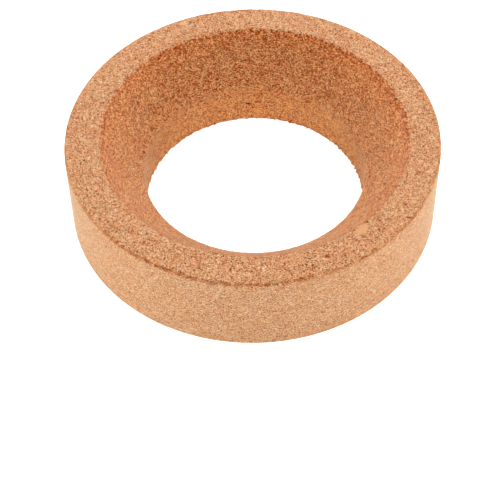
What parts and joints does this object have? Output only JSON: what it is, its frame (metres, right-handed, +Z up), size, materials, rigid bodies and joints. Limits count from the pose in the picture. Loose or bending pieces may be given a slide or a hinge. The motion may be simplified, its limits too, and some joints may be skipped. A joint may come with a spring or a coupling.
{
  "type": "cork ring",
  "caption": "Pressed cork ring with a conical seat and a straight bore, which stands on a bench and holds a round-bottomed flask upright.",
  "frame": {"origin": "centre of the flat foot, on the ring's axis", "axes": "+Z up along the ring's axis, from the foot to the rim; the ring is turned, so +X and +Y are any two directions square to it"},
  "size_m": [0.16, 0.16, 0.04],
  "materials": {
    "cork": "pressed cork granules, matt; ground smooth on the outer wall, sliced open on the rim, rougher and darker in the turned seat"
  },
  "bodies": {
    "root": {"cork_ring": "cork"}
  },
  "joints": []
}
